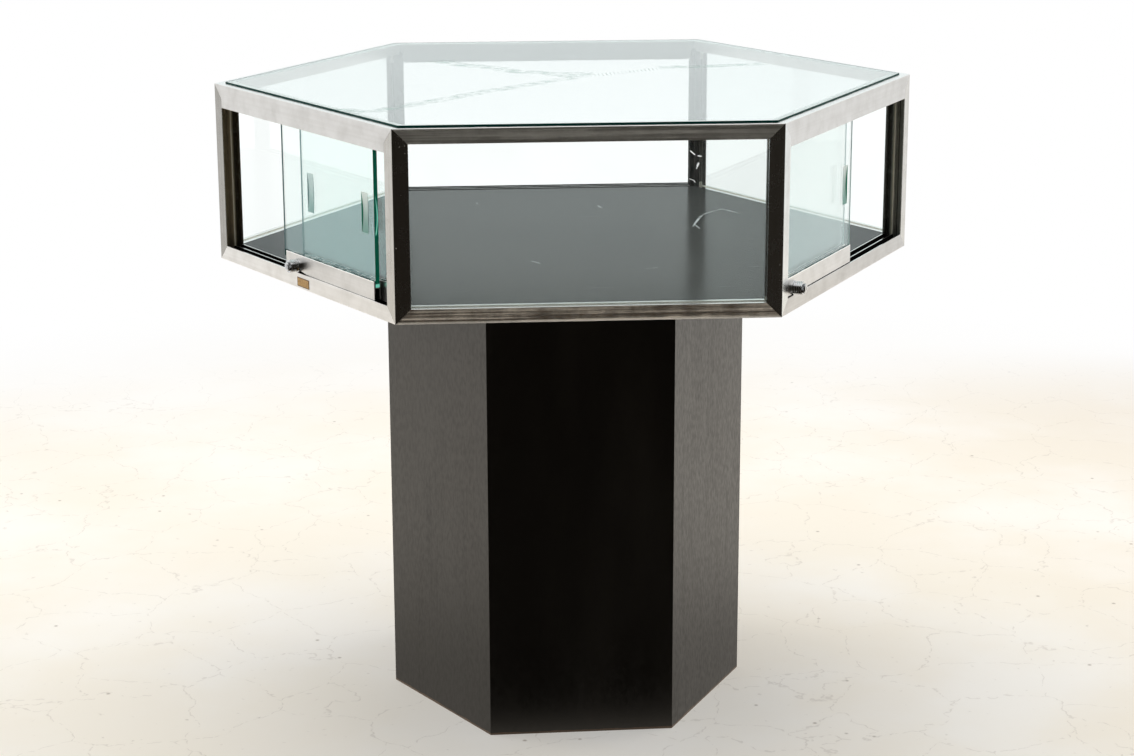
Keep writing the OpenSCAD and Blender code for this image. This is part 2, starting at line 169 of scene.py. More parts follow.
def ray_kinds(tree):
    """Two switches: 1 for what the camera sees straight or through glass, and 1 for what a
    mirroring surface sees, straight or through glass."""
    rays = put(tree, "ShaderNodeLightPath").outputs
    bounces = maths(tree, "ADD", rays["Glossy Depth"], rays["Diffuse Depth"])
    unbroken = maths(tree, "LESS_THAN", bounces, half_bounce)
    through = maths(tree, "MULTIPLY", rays["Is Transmission Ray"], unbroken)
    after_mirror = maths(tree, "MULTIPLY", rays["Is Transmission Ray"],
                         maths(tree, "GREATER_THAN", rays["Glossy Depth"], half_bounce))
    return (maths(tree, "MAXIMUM", rays["Is Camera Ray"], through),
            maths(tree, "MAXIMUM", rays["Is Glossy Ray"], after_mirror))


def background(tree, colour, strength):
    return put(tree, "ShaderNodeBackground", {"Color": colour, "Strength": strength}).outputs[0]


world = bpy.data.worlds.new("studio")
bpy.context.scene.world = world
world.use_nodes = True
tree = world.node_tree
tree.nodes.clear()
towards = parts_of(tree, put(tree, "ShaderNodeTexCoord").outputs["Generated"])
in_front = step(tree, maths(tree, "MULTIPLY", towards[1], -1.0), 0.0, 0.35)
below_lamp = step(tree, towards[2], 0.5, 0.8, 1.0, 0.0)
dark_end = maths(tree, "MULTIPLY", in_front, below_lamp)
plain_rays, mirror_rays = ray_kinds(tree)
room = background(tree, blended(tree, dark_end, room_light, front_dark), room_strength)
far_end = blended(tree, step(tree, towards[1], 0.6, 0.95), white, back_wall)
mirrored = background(tree, blended(tree, dark_end, far_end, front_dark), 1.0)
through_glass = put(tree, "ShaderNodeLightPath").outputs["Is Transmission Ray"]
plain = background(tree, white, step(tree, through_glass, 0.0, 1.0, 1.0, white_through_glass))
seen = mixed(tree, plain_rays, mixed(tree, mirror_rays, room, mirrored), plain)
put(tree, "ShaderNodeOutputWorld", {"Surface": seen})

floor_material, tree = new_material("floor_paint")
point = object_point(tree)
place = parts_of(tree, point)
away = put(tree, "ShaderNodeVectorMath", {0: point}, operation="LENGTH").outputs["Value"]
blotches = noise(tree, point, scale=2.2, detail=6.0)
grains = noise(tree, point, scale=70.0, detail=4.0)
fleck = dots(tree, point, scale=26.0, above=0.9, near=0.03, far=0.12, share=0.6)
dirt = maths(tree, "MAXIMUM", fleck, step(tree, grains, 0.66, 0.78, 0.0, 0.3))
wander = put(tree, "ShaderNodeTexNoise",
             {"Vector": point, "Scale": 11.0, "Detail": 4.0}).outputs["Color"]
wander = put(tree, "ShaderNodeVectorMath", {0: wander, 1: (crack_wander,) * 3},
             operation="MULTIPLY").outputs[0]
bent = put(tree, "ShaderNodeVectorMath", {0: point, 1: wander}, operation="ADD").outputs[0]
veins = put(tree, "ShaderNodeTexVoronoi", {"Vector": bent, "Scale": 6.3},
            feature="DISTANCE_TO_EDGE").outputs["Distance"]
crack = maths(tree, "MULTIPLY", step(tree, veins, 0.003, 0.009, 0.2, 0.0),
              step(tree, grains, 0.42, 0.55))
dirt = maths(tree, "MAXIMUM", dirt, crack)
paint = blended(tree, step(tree, blotches, 0.35, 0.7), floor_paint, floor_worn)
paint = blended(tree, dirt, paint, floor_dirt)
painted = put(tree, "ShaderNodeBsdfDiffuse", {"Color": paint, "Roughness": 0.3}).outputs[0]
# Far off, the floor is a glow that stands for the bright backdrop, dimmer to the right.
lit_floor = blended(tree, step(tree, place[0], 0.0, 1.6), floor_glow, floor_glow_right)
lit_floor = blended(tree, step(tree, blotches, 0.4, 0.75, 0.0, 0.6), lit_floor, white)
lit_floor = blended(tree, dirt, lit_floor, floor_dirt)
lit_floor = blended(tree, step(tree, place[1], 1.2, 2.0), lit_floor, white)
glow = put(tree, "ShaderNodeEmission", {"Color": lit_floor, "Strength": 1.0}).outputs[0]
# What mirrors see of the floor is a painted reflection: a glow that is dark in front, a little
# brighter to the right, and darker near the case as a painted shadow.
towards_front = maths(tree, "MULTIPLY", place[1], -1.0)
reflection_shading = maths(tree, "MULTIPLY", step(tree, away, 0.3, 1.0, 0.5, 1.05),
                   step(tree, place[0], -1.0, 1.0, 0.95, 1.1))
mirrored_floor = blended(tree, step(tree, towards_front, 0.2, 0.34), floor_reflection_glow, front_dark)
reflected = put(tree, "ShaderNodeEmission",
                {"Color": mirrored_floor, "Strength": reflection_shading}).outputs[0]
plain_floor = mixed(tree, step(tree, away, 1.1, 2.6, 0.35, 1.0), painted, glow)
plain_rays, mirror_rays = ray_kinds(tree)
show(tree, mixed(tree, plain_rays, mixed(tree, mirror_rays, painted, reflected), plain_floor))

disc = bmesh.new()
bmesh.ops.create_circle(disc, cap_ends=True, segments=floor_steps, radius=floor_r)
floor_mesh = bpy.data.meshes.new("floor")
disc.to_mesh(floor_mesh)
disc.free()
floor_mesh.materials.append(floor_material)
floor = bpy.data.objects.new("floor", floor_mesh)
bpy.context.scene.collection.objects.link(floor)


def soft_lamp(name, place, aim, size, watts):
    data = bpy.data.lights.new(name, "AREA")
    data.shape = "DISK"
    data.size = size
    data.energy = watts
    lamp = bpy.data.objects.new(name, data)
    bpy.context.scene.collection.objects.link(lamp)
    lamp.location = place
    lamp.rotation_euler = (Vector(aim) - Vector(place)).to_track_quat("-Z", "Y").to_euler()
    lamp.visible_transmission = False
    lamp.visible_glossy = False


soft_lamp("lamp_overhead", (0.0, 0.6, 3.2), aim=(0.0, 0.0, 0.5), size=2.6, watts=60.0)
soft_lamp("lamp_left", (-3.0, 1.0, 1.6), aim=(0.0, 0.0, 0.7), size=1.8, watts=26.0)
soft_lamp("lamp_right", (3.0, 1.0, 1.6), aim=(0.0, 0.0, 0.7), size=1.8, watts=26.0)

# ---------- Pedestal panels ----------
# Six boards, faced with satin black laminate and mitred along their upright edges, stand in a
# hexagon on the floor and carry the case. The laminate has faint upright wipe marks, a few pale
# specks and dents, and a worn brown line where the boards' feet have been kicked.

laminate_black = (0.0062, 0.005, 0.0038, 1.0)
laminate_rubbed = (0.017, 0.0138, 0.0105, 1.0)
laminate_gloss = (1.0, 0.96, 0.9, 1.0)
laminate_specks = (0.5, 0.47, 0.43, 1.0)
laminate_ior = 1.66
worn_board = (0.16, 0.1, 0.06, 1.0)
worn_least = 0.0012
worn_more = 0.004
panel_edge_r = 0.0005
# Edges that turn by more than this are broken, and faces that turn by less are one
sharp_turn = radians(25)
flat_turn = radians(1)
PANELS = ("front", "front_right", "back_right", "back", "back_left", "front_left")


def copy_of(node, name):
    """A copy of a CAD node's mesh, joined into one skin with flat faces in one piece."""
    mesh = bpy.data.meshes.new(name)
    solid = bmesh.new()
    solid.from_mesh(nodes[node].data)
    bmesh.ops.remove_doubles(solid, verts=solid.verts, dist=1e-6)
    bmesh.ops.dissolve_limit(solid, angle_limit=flat_turn, verts=solid.verts,
                             edges=solid.edges, use_dissolve_boundaries=False)
    return solid, mesh


def finished(solid, mesh, material, smooth=0.5):
    """Makes an object of a bmesh, in one material, rounded where faces meet at less than smooth."""
    bmesh.ops.recalc_face_normals(solid, faces=solid.faces)
    solid.to_mesh(mesh)
    solid.free()
    mesh.materials.clear()
    mesh.materials.append(material)
    mesh.polygons.foreach_set("use_smooth", [True] * len(mesh.polygons))
    mesh.set_sharp_from_angle(angle=smooth)
    made = bpy.data.objects.new(mesh.name, mesh)
    bpy.context.scene.collection.objects.link(made)
    return made


def break_edges(solid, radius, segments=2):
    """Rounds the sharp edges of a bmesh a little."""
    edges = [edge for edge in solid.edges
             if len(edge.link_faces) == 2 and edge.calc_face_angle(0.0) > sharp_turn]
    bmesh.ops.bevel(solid, geom=edges, offset=radius, segments=segments, affect="EDGES",
                    profile=0.5, clamp_overlap=True)


def squeezed(tree, point, scale, turn=0.0):
    """A point turned in plan and scaled, so that a pattern on it is drawn out along an axis."""
    return put(tree, "ShaderNodeMapping", {"Vector": point, "Rotation": (0.0, 0.0, turn),
                                           "Scale": scale}).outputs[0]


def bumped(tree, height, strength, distance):
    return put(tree, "ShaderNodeBump", {"Height": height, "Strength": strength,
                                        "Distance": distance}).outputs[0]


laminate, tree = new_material("laminate_satin_black")
point = object_point(tree)
height = parts_of(tree, point)[2]
upright = squeezed(tree, point, (1.0, 1.0, 0.22))
smudges = noise(tree, upright, scale=9.0, detail=4.0, roughness=0.6)
drips = noise(tree, squeezed(tree, point, (1.0, 1.0, 0.05)), scale=60.0)
weave = noise(tree, squeezed(tree, point, (1.0, 1.0, 0.4)), scale=260.0, detail=3.0)
specks = dots(tree, point, scale=34.0, above=0.9, near=0.02, far=0.035, share=1.0)
dents = dots(tree, upright, scale=16.0, above=0.93, near=0.015, far=0.07, share=0.35, channel=1)
chips = noise(tree, point, scale=38.0, detail=4.0)
colour = blended(tree, step(tree, smudges, 0.4, 0.75, 0.0, 0.6), laminate_black, laminate_rubbed)
colour = blended(tree, specks, colour, laminate_specks)
foot_line = maths(tree, "ADD", worn_least, maths(tree, "MULTIPLY", chips, worn_more))
colour = blended(tree, maths(tree, "LESS_THAN", height, foot_line), colour, worn_board)
gloss = maths(tree, "ADD", 0.3, maths(tree, "MULTIPLY", smudges, 0.16))
gloss = maths(tree, "ADD", gloss, step(tree, drips, 0.5, 0.8, 0.0, 0.06))
gloss = maths(tree, "ADD", gloss, dents)
gloss = maths(tree, "ADD", gloss, step(tree, weave, 0.3, 0.7, -0.07, 0.07))
peel = bumped(tree, noise(tree, point, scale=900.0), 0.12, 0.0003)
show(tree, put(tree, "ShaderNodeBsdfPrincipled",
               {"Base Color": colour, "Roughness": gloss, "IOR": laminate_ior,
                "Specular Tint": laminate_gloss, "Normal": peel}).outputs[0])

for side in PANELS:
    node = "pedestal_panel_" + side
    solid, mesh = copy_of(node, node + "_laminated")
    break_edges(solid, panel_edge_r)
    panel = finished(solid, mesh, laminate)
    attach(panel, "case")
    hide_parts(node)

# ---------- Boards and battens inside the pedestal ----------
# A top and a bottom board of bare particle board hold the hexagon's shape, and a batten behind
# each mitre ties the panels together. Only the bottom board shows, from below.

board_colours = ((0.42, 0.29, 0.17, 1.0), (0.62, 0.47, 0.3, 1.0), (0.28, 0.18, 0.1, 1.0))


def dress(node, material):
    """Gives a CAD node its material."""
    nodes[node].material_slots[0].material = material


bare_board, tree = new_material("particle_board")
point = object_point(tree)
chips = put(tree, "ShaderNodeTexVoronoi", {"Vector": point, "Scale": 420.0}).outputs
flakes = put(tree, "ShaderNodeSeparateColor", {0: chips["Color"]}).outputs
colour = blended(tree, flakes[0], board_colours[0], board_colours[1])
colour = blended(tree, maths(tree, "GREATER_THAN", flakes[1], 0.85), colour, board_colours[2])
show(tree, put(tree, "ShaderNodeBsdfPrincipled",
               {"Base Color": colour, "Roughness": 0.8,
                "Normal": bumped(tree, chips["Distance"], 0.4, 0.0004)}).outputs[0])
for node in ("pedestal_top_board", "pedestal_bottom_board", "pedestal_battens"):
    dress(node, bare_board)

# ---------- Deck ----------
# The deck is a board faced with dark laminate. It lies on the rails' ledges and is level with
# their tops. Goods have rubbed its middle paler and left fine scratches and a few deeper ones. Six
# screws hold it from below.

deck_colour = (0.011, 0.0125, 0.013, 1.0)
deck_dust = (0.045, 0.05, 0.05, 1.0)
deck_worn = (0.042, 0.043, 0.042, 1.0)
deck_scratch = (0.55, 0.57, 0.57, 1.0)
deck_edge_shade = (0.006, 0.006, 0.006, 1.0)
deck_ior = 1.13
# The middle is worn to the first of these distances from the middle, and not past the second
worn_to = (0.26, 0.4)
# Distance from the middle to the deck's straight edges, and the width of the dark line of painted
# shade along them, where the deck meets the rails
deck_flat = 0.407
edge_shade_width = 0.0022
hair_turn = 0.6
# Scratches: each is a width and a line through points in plan, in millimetres
deck_scratches = (
    (2.2, (215, 151), (199, 90), (203, 59)),
    (1.8, (195, 75), (222, 166), (239, 188), (256, 206), (274, 177)),
    (1.6, (67, 249), (72, 231)),
    (1.6, (-121, 288), (-119, 278)),
    (1.4, (-60, -150), (-48, -166)),
    (1.2, (96, -212), (112, -206)),
)
# A mark is full to the first of these distances from its line, per millimetre of its width, and
# gone at the second
mark_core = 0.00025
mark_end = 0.0007


def stroke(tree, place, width, start, end):
    """1 along a straight line between two points in millimetres, and 0 away from it."""
    a = Vector(start) / 1000
    b = Vector(end) / 1000
    run = (b - a).normalized()
    dx = maths(tree, "SUBTRACT", place[0], a.x)
    dy = maths(tree, "SUBTRACT", place[1], a.y)
    along = maths(tree, "ADD", maths(tree, "MULTIPLY", dx, run.x), maths(tree, "MULTIPLY", dy, run.y))
    off = maths(tree, "SUBTRACT", maths(tree, "MULTIPLY", dx, run.y),
                maths(tree, "MULTIPLY", dy, run.x))
    past = maths(tree, "MAXIMUM", maths(tree, "MULTIPLY", along, -1.0),
                 maths(tree, "SUBTRACT", along, (b - a).length))
    off = maths(tree, "MAXIMUM", maths(tree, "ABSOLUTE", off), past)
    return step(tree, off, width * mark_core, width * mark_end, 1.0, 0.0)


def strokes(tree, place, lines):
    """1 along each of the given lines."""
    marks = 0.0
    for width, *points in lines:
        for start, end in zip(points, points[1:]):
            marks = maths(tree, "MAXIMUM", marks, stroke(tree, place, width, start, end))
    return marks


def outward(face):
    """The direction that a face of the case looks in, with the faces counted from the front."""
    turn = radians(60 * face)
    return (sin(turn), -cos(turn), 0.0)


def measured(tree, point, direction):
    """How far a point or a direction reaches in the given direction."""
    axis = put(tree, "ShaderNodeCombineXYZ", dict(enumerate(direction))).outputs[0]
    return put(tree, "ShaderNodeVectorMath", {0: point, 1: axis},
               operation="DOT_PRODUCT").outputs["Value"]


def reach_out(tree, point):
    """How far a point lies out from the middle, straight towards the nearest face of the case."""
    reach = 0.0
    for face in range(3):
        across = maths(tree, "ABSOLUTE", measured(tree, point, outward(face)))
        reach = maths(tree, "MAXIMUM", reach, across)
    return reach


deck_laminate, tree = new_material("deck_laminate")
point = object_point(tree)
place = parts_of(tree, point)
fine = noise(tree, point, scale=620.0)
wide = noise(tree, point, scale=6.0, detail=5.0)
broken = noise(tree, point, scale=160.0, detail=3.0)
hairs = noise(tree, squeezed(tree, point, (0.04, 1.0, 1.0), turn=hair_turn), scale=420.0, detail=1.0)
colour = blended(tree, step(tree, wide, 0.35, 0.75, 0.0, 0.25), deck_colour, deck_dust)
used = maths(tree, "MULTIPLY", step(tree, maths(tree, "ABSOLUTE", place[0]), *worn_to, 1.0, 0.0),
             step(tree, wide, 0.25, 0.6, 0.6, 1.0))
colour = blended(tree, used, colour, deck_worn)
colour = blended(tree, step(tree, fine, 0.62, 0.8, 0.0, 0.5), colour, deck_dust)
marks = maths(tree, "MULTIPLY", strokes(tree, place, deck_scratches), step(tree, broken, 0.3, 0.5))
crumbs = dots(tree, point, scale=45.0, above=0.93, near=0.035, far=0.06, share=0.6)
scratched = maths(tree, "MAXIMUM", maths(tree, "MAXIMUM", marks, crumbs),
                  step(tree, hairs, 0.76, 0.82, 0.0, 0.2))
colour = blended(tree, scratched, colour, deck_scratch)
gloss = maths(tree, "ADD", 0.13, maths(tree, "MULTIPLY", wide, 0.08))
gloss = maths(tree, "MAXIMUM", gloss, maths(tree, "MULTIPLY", scratched, 0.6))
top_face = put(tree, "ShaderNodeBsdfPrincipled",
               {"Base Color": colour, "Roughness": gloss, "IOR": deck_ior,
                "Normal": bumped(tree, fine, 0.06, 0.0002)}).outputs[0]
# A dark line of painted shade along the deck's edges, where it meets the rails.
shaded_edge = step(tree, reach_out(tree, point), deck_flat - edge_shade_width, deck_flat - edge_shade_width * 0.6)
show(tree, mixed(tree, shaded_edge, top_face, matt(tree, deck_edge_shade)))
dress("deck_board", deck_laminate)

screw_steel, tree = new_material("zinc_plated_steel")
plating = put(tree, "ShaderNodeTexNoise", {"Vector": object_point(tree), "Scale": 700.0}).outputs[0]
show(tree, put(tree, "ShaderNodeBsdfPrincipled",
               {"Base Color": blended(tree, plating, (0.45, 0.46, 0.48, 1.0), (0.6, 0.6, 0.56, 1.0)),
                "Metallic": 1.0,
                "Roughness": maths(tree, "ADD", 0.25, maths(tree, "MULTIPLY", plating, 0.25)),
                }).outputs[0])
dress("deck_screws", screw_steel)

# ---------- Frame: rails, tracks, headers and posts ----------
# Hollow bars of natural anodised aluminium, brushed along their length and mitred at the corners.
# Cast keys inside them, which don't show, hold each corner together.

FACES = {"front": 0, "right": 1, "back_right": 2, "back": 3, "back_left": 4, "left": 5}
apothem = 0.4330127
anodised = (0.86, 0.845, 0.82, 1.0)
anodised_dull = (0.72, 0.7, 0.665, 1.0)
# The posts get darker copies of the anodised colour, and the front right post cooler ones: painted
# shade and a painted cool reflection.
upright_shaded_anodised = (0.68, 0.66, 0.62, 1.0)
upright_shaded_dull = (0.5, 0.48, 0.44, 1.0)
cool_reflection_anodised = (0.72, 0.73, 0.71, 1.0)
cool_reflection_dull = (0.52, 0.525, 0.5, 1.0)
# Painted light and shade: how bright each post and each track is drawn beside the rest, as light falls
# on it, though all are one metal
post_lighting = {"left": 0.62, "front_left": 0.88, "front_right": 1.1, "right": 1.03,
              "back_right": 0.9, "back_left": 0.9}
track_lighting = {"left": 1.14, "right": 0.86, "back": 1.0}
# Pale metal for painted highlights
highlight_metal = (1.0, 0.99, 0.97, 1.0)
ding = (0.2, 0.18, 0.16, 1.0)
speck_white = (0.5, 0.5, 0.48, 1.0)
near_black = (0.008, 0.007, 0.006, 1.0)
oxide = (0.85, 0.77, 0.68, 1.0)
oxide_dark = (0.16, 0.13, 0.105, 1.0)
oxide_grey = (0.8, 0.8, 0.77, 1.0)
oxide_grey_dark = (0.3, 0.3, 0.28, 1.0)
# The painted shade on what lies behind the case's outer planes by more than behind_plane: its colour,
# and its share on each post
inner_shade_colour = (0.02, 0.021, 0.021, 1.0)
door_post_shading = {"left": (0.3, 0.25, 0.17, 1.0), "right": (0.3, 0.3, 0.27, 1.0)}
inner_share_by_post = {"left": 0.9, "right": 0.9, "back_right": 0.95}
other_inner_share = 0.6
behind_plane = 0.0008
# Depths inward of the pale rib between a door post's channels, which carries a painted highlight, and
# of the dark groove before it, in painted shade
rib_highlight = (0.62, 0.57, 0.46, 1.0)
rib_depth = (0.012, 0.0185)
post_groove = {"left": 0.0062, "right": 0.0103}
groove_half = 0.0009
# Heights: of the frame's underside, and of the tops of the lips beside the sliding doors
frame_foot = 0.658
lip_top = 0.679
# The two door channels, as depths inward from the outer plane
channels = ((0.0015, 0.0123), (0.0137, 0.0245))


def depth_in(tree, point, face):
    """How far a point lies inward from a face's outer plane."""
    return maths(tree, "SUBTRACT", apothem, measured(tree, point, outward(face)))


def within(tree, value, low, high, soft=0.0):
    """1 where a value lies between low and high."""
    soft = max(soft, 1e-6)
    return maths(tree, "MULTIPLY", step(tree, value, low, low + soft),
                 step(tree, value, high - soft, high, 1.0, 0.0))


def rightward(face):
    """The direction that runs to the right along a face of the case, as it is looked at."""
    turn = radians(60 * face)
    return (cos(turn), sin(turn))


def channel_shade(tree, point, face, rise, lock_shadow):
    """Painted shade in the door channels and in the gap above the lips, a little way up the doors in
    them.

    It reaches rise above the lips, and further at the left end of the doors, where it is a painted
    shadow of the lock."""
    depth = depth_in(tree, point, face)
    ragged = noise(tree, point, scale=240.0, detail=4.0)
    across = measured(tree, point, rightward(face))
    level = maths(tree, "ADD", lip_top + rise, maths(tree, "MULTIPLY", ragged, 0.0006))
    level = maths(tree, "ADD", level, step(tree, across, -0.012, 0.012, lock_shadow, 0.0))
    low = maths(tree, "LESS_THAN", parts_of(tree, point)[2], level)
    inside = maths(tree, "MAXIMUM", within(tree, depth, *channels[0]),
                   within(tree, depth, *channels[1]))
    return maths(tree, "MULTIPLY", low, inside)


def shaded(colour, shade):
    return tuple(min(shade * c, 1.0) for c in colour[:3]) + (1.0,)


def brushed(name, turn, upright=False, rough=0.34, grain=0.16, light=anodised, dull=anodised_dull,
            shade_face=None, rise=-0.0007, lock_shadow=0.0, film=0.0, oxides=(oxide, oxide_dark),
            specks=False, highlight_from=None, inner=0.0, shading_colour=inner_shade_colour, ribs_face=None,
            groove=None):
    """Brushed metal, with its grain along a bar that lies at turn degrees in plan, or upright.

    Upward faces carry a painted highlight, brighter and glossier. film is the share of dull oxide on
    the front, in the two colours of oxides, with a painted highlight along the foot of the bar. Pale
    specks and the painted shade of one face's channels can lie on the rest. It carries a painted
    highlight above a given height, and inner is the share of painted shade on what lies behind the
    case's outer planes. On a door post that painted shade has a pale painted highlight on a rib and a
    dark groove, at depths inward from ribs_face."""
    made, tree = new_material(name)
    point = object_point(tree)
    turned = squeezed(tree, point, (1.0, 1.0, 1.0), turn=radians(-turn))
    drawn = squeezed(tree, turned, (1.0, 1.0, 0.012) if upright else (0.012, 1.0, 1.0))
    lines = noise(tree, drawn, scale=1500.0, detail=3.0, roughness=0.7)
    bands = noise(tree, drawn, scale=260.0, detail=3.0)
    cloud = noise(tree, point, scale=42.0, detail=6.0, roughness=0.65)
    nicks = dots(tree, point, scale=46.0, above=0.975, near=0.04, far=0.09, share=0.7)
    colour = blended(tree, step(tree, cloud, 0.3, 0.75, 0.0, 0.55), light, dull)
    colour = blended(tree, step(tree, bands, 0.35, 0.7, 0.0, 0.35), colour, dull)
    colour = blended(tree, nicks, colour, ding)
    gloss = maths(tree, "ADD", rough - grain / 2, maths(tree, "MULTIPLY", lines, grain))
    gloss = maths(tree, "ADD", gloss, step(tree, cloud, 0.4, 0.75, 0.0, 0.06))
    height = parts_of(tree, point)[2]
    normal = parts_of(tree, put(tree, "ShaderNodeTexCoord").outputs["Normal"])
    # Upward faces carry a painted highlight
    top_highlight = step(tree, normal[2], 0.6, 0.9)
    if highlight_from is not None:
        top_highlight = maths(tree, "MAXIMUM", top_highlight,
                      step(tree, height, highlight_from, highlight_from + 0.0003))
    colour = blended(tree, top_highlight, colour, highlight_metal)
    gloss = maths(tree, "SUBTRACT", gloss, maths(tree, "MULTIPLY", top_highlight, rough - 0.15))
    grain_line = (0.0, 0.0, 1.0) if upright else (cos(radians(turn)), sin(radians(turn)), 0.0)
    tangent = put(tree, "ShaderNodeCombineXYZ", dict(enumerate(grain_line)))
    surface = put(tree, "ShaderNodeBsdfPrincipled",
                  {"Base Color": colour, "Metallic": 1.0, "Roughness": gloss,
                   "Anisotropic": 0.6, "Tangent": tangent.outputs[0],
                   "Normal": bumped(tree, lines, 0.22, 0.0001)}).outputs[0]
    if film:
        streaks = noise(tree, squeezed(tree, turned, (0.09, 1.0, 1.0)), scale=700.0, detail=3.0,
                        roughness=0.6)
        # A painted highlight along the foot of a front rail
        foot_highlight = step(tree, height, frame_foot + 0.0015, frame_foot + 0.0035, 0.5, 0.0)
        covered = maths(tree, "ADD", step(tree, streaks, 0.25, 0.75, film * 0.6, film * 1.4),
                        foot_highlight)
        to_front = step(tree, maths(tree, "MULTIPLY", normal[1], -1.0), 0.7, 0.95)
        covered = maths(tree, "MULTIPLY", covered, to_front)
        tone = maths(tree, "ADD", maths(tree, "MULTIPLY", bands, 0.75),
                     maths(tree, "MULTIPLY", cloud, 0.25))
        tone = blended(tree, step(tree, tone, 0.4, 0.6), *oxides)
        tone = blended(tree, maths(tree, "MINIMUM", foot_highlight, 1.0), tone, highlight_metal)
        surface = mixed(tree, covered, surface, matt(tree, tone))
    if specks:
        paint = dots(tree, point, scale=150.0, above=0.93, near=0.08, far=0.16, share=0.5)
        surface = mixed(tree, paint, surface, matt(tree, speck_white))
    # A pale painted highlight on a door post's rib, and painted shade in its groove
    if ribs_face is not None:
        depth = depth_in(tree, point, ribs_face)
        rib = within(tree, depth, *rib_depth, 0.0012)
        black = maths(tree, "MAXIMUM",
                      within(tree, depth, groove - groove_half, groove + groove_half, 0.0006),
                      step(tree, depth, rib_depth[1] + 0.0005, rib_depth[1] + 0.002))
        shading_colour = blended(tree, rib, shading_colour, rib_highlight)
        shading_colour = blended(tree, maths(tree, "MULTIPLY", black, 0.85), shading_colour, near_black)
    # Painted shade on what lies behind the case's outer planes
    if inner:
        behind = maths(tree, "LESS_THAN", reach_out(tree, point), apothem - behind_plane)
        surface = mixed(tree, maths(tree, "MULTIPLY", behind, inner), surface, matt(tree, shading_colour))
    # Painted shade in one face's channels
    if shade_face is not None:
        surface = mixed(tree, channel_shade(tree, point, shade_face, rise, lock_shadow), surface,
                        matt(tree, near_black))
    show(tree, surface)
    return made


bar_metal = {turn: brushed("aluminium_brushed_%d" % turn, turn) for turn in (0, 60, 120)}
track_metal = {side: brushed("aluminium_track_" + side, 60 * FACES[side] % 180, shade_face=FACES[side],
                             light=shaded(anodised, shade), dull=shaded(anodised_dull, shade))
               for side, shade in track_lighting.items()}
for side, face in FACES.items():
    metal = bar_metal[60 * face % 180]
    if side in track_metal:
        dress("bottom_track_" + side, track_metal[side])
        dress("header_" + side, metal)
    else:
        dress("bottom_rail_" + side, metal)
        dress("top_rail_" + side, metal)
dress("bottom_rail_front", brushed("aluminium_worn", 0, film=0.8))
dress("top_rail_front", brushed("aluminium_dulled", 0, film=0.4, oxides=(oxide_grey, oxide_grey_dark)))
for corner, shade in post_lighting.items():
    metal, dull = upright_shaded_anodised, upright_shaded_dull
    if corner == "front_right":
        metal, dull = cool_reflection_anodised, cool_reflection_dull
    dress("post_" + corner, brushed(
        "aluminium_post_" + corner, 0, upright=True, rough=0.24, grain=0.1,
        light=shaded(metal, shade), dull=shaded(dull, shade), specks=True,
        inner=inner_share_by_post.get(corner, other_inner_share), shading_colour=door_post_shading.get(corner, inner_shade_colour),
        ribs_face=FACES[corner] if corner in post_groove else None, groove=post_groove.get(corner)))

cast_metal, tree = new_material("cast_metal")
skin = noise(tree, object_point(tree), scale=500.0, detail=4.0)
show(tree, put(tree, "ShaderNodeBsdfPrincipled",
               {"Base Color": blended(tree, skin, (0.3, 0.3, 0.31, 1.0), (0.5, 0.5, 0.5, 1.0)),
                "Metallic": 1.0, "Roughness": 0.55,
                "Normal": bumped(tree, skin, 0.5, 0.0003)}).outputs[0])
for node in ("corner_keys_bottom", "corner_keys_top"):
    dress(node, cast_metal)

# ---------- Seals ----------
# Soft cream vinyl channels wrap the fixed panes' edges and hold them in the rails and posts, and a
# white tape lies under the top glass.

vinyl_fresh = (0.88, 0.86, 0.78, 1.0)
vinyl_yellow = (0.8, 0.77, 0.66, 1.0)
tape_white = (0.8, 0.83, 0.82, 1.0)
tape_from = 0.904
# Between these heights the seals stand upright in the posts, and are drawn dark there
upright_from = 0.684
upright_to = 0.878

vinyl, tree = new_material("cream_vinyl")
point = object_point(tree)
height = parts_of(tree, point)[2]
colour = blended(tree, noise(tree, point, scale=14.0, detail=4.0), vinyl_fresh, vinyl_yellow)
darkened = maths(tree, "MULTIPLY", within(tree, height, upright_from, upright_to), 0.85)
colour = blended(tree, darkened, colour, near_black)
colour = blended(tree, maths(tree, "GREATER_THAN", height, tape_from), colour, tape_white)
creased = bumped(tree, noise(tree, point, scale=300.0, detail=3.0), 0.25, 0.0004)
show(tree, put(tree, "ShaderNodeBsdfPrincipled",
               {"Base Color": colour, "Roughness": 0.45, "Normal": creased}).outputs[0])
dress("glazing_seals", vinyl)

# ---------- Fixed panes ----------
# Clear float glass, 6 mm thick, in the front face and the two beside the open back. The cut edges
# are deep green, because light has come a long way through the sheet. The faces are faintly dusty.

glass_tint = (0.955, 0.99, 0.98, 1.0)
glass_ior = 1.52
glass_edge = (0.0, 0.33, 0.2, 1.0)
inner_edge = (0.012, 0.05, 0.045, 1.0)
# The colour of a painted glow on the doors' cut ends
edge_light = (0.19, 0.61, 0.48, 1.0)
# A finger pull's ground floor is painted pale at its top and darker towards its foot: painted light
# and shade
ground_lit = (0.9, 1.0, 0.96, 1.0)
ground_shaded = (0.22, 0.5, 0.42, 1.0)
dust_colour = (0.75, 0.78, 0.77, 1.0)
mark_colour = (0.3, 0.4, 0.36, 1.0)
chip_white = (0.9, 0.92, 0.92, 1.0)
# How much the white chips glow, as painted light
chip_glow = 0.6
pull_rough = 0.35
# Height of the middle of the finger pulls, and how far each reaches up and down from it
pull_middle = 0.7905
pull_reach = 0.0265
# Dust settles on the panes between these heights, most at the first
settles_from = (0.69, 0.85)
# From where to where marks come out as the eye nears the plane of the glass, and their least share
solid_marks = (-2.0, -1.0, 1.0)
thin_marks = (0.3, 0.85, 0.08)


